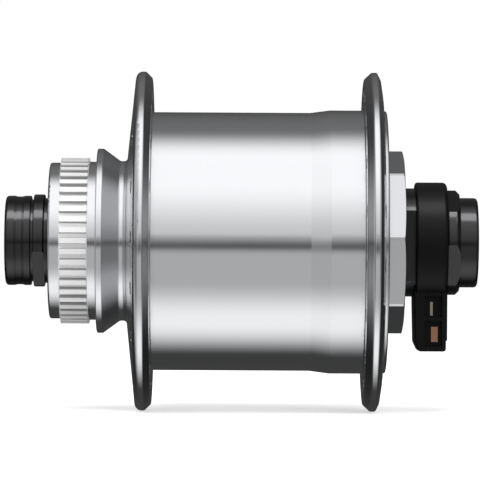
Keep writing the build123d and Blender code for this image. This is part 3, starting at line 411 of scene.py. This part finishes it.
def wound_coil():
    """The coil's winding with its turns of wire, in the place of the plain CAD solid."""
    low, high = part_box("coil_winding")
    length = high[1] - low[1]
    tree, sockets = winding_tree(finishes["copper"])
    piece = bpy.data.objects.new("coil_turns", bpy.data.meshes.new("coil_turns_start"))
    bpy.context.scene.collection.objects.link(piece)
    maker = piece.modifiers.new("winding", "NODES")
    maker.node_group = tree
    turns = int((length - WIRE_DIAMETER) / (WIRE_DIAMETER + WIRE_GAP))
    sizes = (length, high[2], WINDING_BORE, WIRE_DIAMETER, turns)
    for label, size in zip(WINDING_SIZES, sizes):
        maker[sockets[label]] = float(size)
    wound = piece.evaluated_get(bpy.context.evaluated_depsgraph_get())
    mesh = bpy.data.meshes.new_from_object(wound)
    mesh.materials.clear()
    mesh.materials.append(finishes["copper"])
    mesh.transform(Matrix.Translation((0, (low[1] + high[1]) / 2, 0)))
    piece.modifiers.clear()
    piece.data = mesh
    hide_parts("coil_winding")
    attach(piece, "axle")


wound_coil()


# Studio that the metal mirrors, by the angle round the axle from the camera up over the hub. A card
# has its level, the angles where it starts and is full, and those where it stops being full and ends.
# The slot is the dark one that the camera looks through: it takes its level off the cards. The slot's
# width, and the place where the studio's ends get darker, are the part of a ray that runs along the axle.
STUDIO_CARDS = {
    "upper_card": (0.55, -8.4, 6.6, 84.6, 118.6),
    "upper_card_middle": (0.5, 0.6, 52.6, 76.6, 112.6),
    "lower_card": (0.4, -0.4, -12.4, -78.4, -122.4),
    "lower_card_middle": (0.53, -34.4, -71.4, -78.4, -122.4),
    "top_wall": (0.12, 70.6, 110.6, 112.6, 190.6),
}
STUDIO_BACK_LEVEL = 0.05
CAMERA_SLOT = (0.2, -8.9, -4.4, 3.6, 7)
CAMERA_SLOT_FULL, CAMERA_SLOT_END = 0.03, 0.1
STUDIO_END_SHARE = 0.42  # of the light in the studio's middle
STUDIO_END_START, STUDIO_END_FULL = 0.12, 0.75
AMBIENT_LEVEL = 0.6
PAPER_WHITE = 1.0


def studio_card(tree, angle, card):
    """The light of a card at an angle round the axle."""
    level, start, full, full_end, end = card
    rise = smooth_step(tree, angle, radians(start), radians(full))
    fall = smooth_step(tree, angle, radians(full_end), radians(end))
    return sums(tree, "MULTIPLY", sums(tree, "SUBTRACT", rise, fall), level)


def studio_world():
    """The white background, and the bands of light and shade that the metal mirrors."""
    world = bpy.data.worlds.new("studio")
    bpy.context.scene.world = world
    world.use_nodes = True
    tree = world.node_tree
    background = tree.nodes["Background"]
    parts = add_node(
        tree, "ShaderNodeSeparateXYZ", {0: add_node(tree, "ShaderNodeTexCoord").outputs["Generated"]}
    )
    forward = sums(tree, "MULTIPLY", parts.outputs[0], -1.0)
    angle = sums(tree, "ARCTAN2", parts.outputs[2], forward)
    bands = STUDIO_BACK_LEVEL
    for card in STUDIO_CARDS.values():
        bands = sums(tree, "ADD", studio_card(tree, angle, card), bands)
    sideways = sums(tree, "ABSOLUTE", parts.outputs[1])
    in_slot = smooth_step(tree, sideways, CAMERA_SLOT_END, CAMERA_SLOT_FULL)
    slot = sums(tree, "MULTIPLY", studio_card(tree, angle, CAMERA_SLOT), in_slot)
    bands = sums(tree, "MAXIMUM", sums(tree, "SUBTRACT", bands, slot), STUDIO_BACK_LEVEL)
    fade = smooth_step(tree, sideways, STUDIO_END_START, STUDIO_END_FULL)
    share = level_between(tree, fade, 1.0, STUDIO_END_SHARE)
    mirrored = sums(tree, "MULTIPLY", bands, share)
    rays, white = view_rays(tree)
    level = mixed_level(tree, rays["Is Glossy Ray"], AMBIENT_LEVEL, mirrored)
    seen = mixed_level(tree, white, level, PAPER_WHITE)
    background.inputs["Color"].default_value = (1, 1, 1, 1)
    tree.links.new(seen, background.inputs["Strength"])


# Lamps: place, size and power, and the finishes that one is there for alone
LAMPS = {
    "overhead_lamp": ((-0.5, 0.15, 0.9), (0.9, 0.7), 9.0, ()),
    "front_lamp": ((-1.0, -0.4, 0.25), (0.7, 0.7), 4.0, ()),
    "black_parts_lamp": ((-0.205, 0, 0.564), (0.8, 0.24), 2.3, ("black_metal", "connector_plastic")),
}


def area_lamp(name, place, size, power, lit_slots):
    """A soft lamp that points at the hub. The metal mirrors the studio's cards instead of it,
    unless the lamp is there for the pieces of some finishes alone."""
    lamp = bpy.data.lights.new(name, "AREA")
    lamp.shape = "RECTANGLE"
    lamp.size, lamp.size_y = size
    lamp.energy = power
    holder = bpy.data.objects.new(name, lamp)
    bpy.context.scene.collection.objects.link(holder)
    holder.location = place
    holder.rotation_euler = holder.location.to_track_quat("Z", "Y").to_euler()
    holder.visible_camera = False
    holder.visible_glossy = bool(lit_slots)
    if lit_slots:
        lit = bpy.data.collections.new(name + "_pieces")
        for piece in frame["record"]["subparts"]:
            if piece["material_slot"] in lit_slots:
                lit.objects.link(nodes[piece["node"]])
        holder.light_linking.receiver_collection = lit


# Floor: its gap under the flanges, its reach, its grey, and the light that keeps it white in the picture
FLOOR_GAP = 0.05 * MM
FLOOR_REACH = 3.0
FLOOR_GREY = 0.82
FLOOR_LIFT = 0.5


def pale_floor():
    """A plain pale floor under the flanges, which stays white and keeps the hub's shadow."""
    level = cad_low.z - FLOOR_GAP
    mesh = bpy.data.meshes.new("floor")
    sides = ((-1, -1), (1, -1), (1, 1), (-1, 1))
    corners = [(x * FLOOR_REACH, y * FLOOR_REACH, level) for x, y in sides]
    mesh.from_pydata(corners, [], [(0, 1, 2, 3)])
    floor = bpy.data.objects.new("floor", mesh)
    bpy.context.scene.collection.objects.link(floor)
    material = bpy.data.materials.new("pale_floor")
    material.use_nodes = True
    tree = material.node_tree
    tree.nodes.remove(tree.nodes["Principled BSDF"])
    matte = add_node(tree, "ShaderNodeBsdfDiffuse", {"Color": (FLOOR_GREY, FLOOR_GREY, FLOOR_GREY, 1)})
    rays, seen = view_rays(tree)
    seen = sums(tree, "MAXIMUM", seen, rays["Is Glossy Ray"])
    lifted = sums(tree, "MULTIPLY", seen, FLOOR_LIFT)
    lift = add_node(tree, "ShaderNodeEmission", {"Strength": lifted})
    both = add_node(tree, "ShaderNodeAddShader", {0: matte.outputs[0], 1: lift.outputs[0]})
    tree.links.new(both.outputs[0], tree.nodes["Material Output"].inputs["Surface"])
    mesh.materials.append(material)
    floor.visible_glossy = False


studio_world()
for name, values in LAMPS.items():
    area_lamp(name, *values)
pale_floor()

# Camera: the photo's view, square on to the axle, with its small tilt. The photo's size and the hub's
# offset from its middle are in pixels, its scale in pixels a metre.
PHOTO_SIZE = 480
PHOTO_SCALE = 4.705 / MM
HUB_RIGHT = 1.55
HUB_DOWN = 1.55
CAMERA_DISTANCE = 0.9
CAMERA_ROLL = 0.31
SENSOR_WIDTH = 36.0
NEAREST_SEEN, FARTHEST_SEEN = 0.05, 20.0

camera_data = bpy.data.cameras.new("camera")
camera_data.sensor_width = SENSOR_WIDTH
camera_data.lens = SENSOR_WIDTH * CAMERA_DISTANCE * PHOTO_SCALE / PHOTO_SIZE
camera_data.clip_start = NEAREST_SEEN
camera_data.clip_end = FARTHEST_SEEN
camera = bpy.data.objects.new("camera", camera_data)
bpy.context.scene.collection.objects.link(camera)
roll_sine, roll_cosine = sin(radians(CAMERA_ROLL)), cos(radians(CAMERA_ROLL))
camera.matrix_world = Matrix(
    (
        (0, 0, -1, -CAMERA_DISTANCE),
        (-roll_cosine, roll_sine, 0, HUB_RIGHT / PHOTO_SCALE),
        (roll_sine, roll_cosine, 0, HUB_DOWN / PHOTO_SCALE),
        (0, 0, 0, 1),
    )
)
scene = bpy.context.scene
scene.camera = camera
scene.view_settings.view_transform = "Standard"
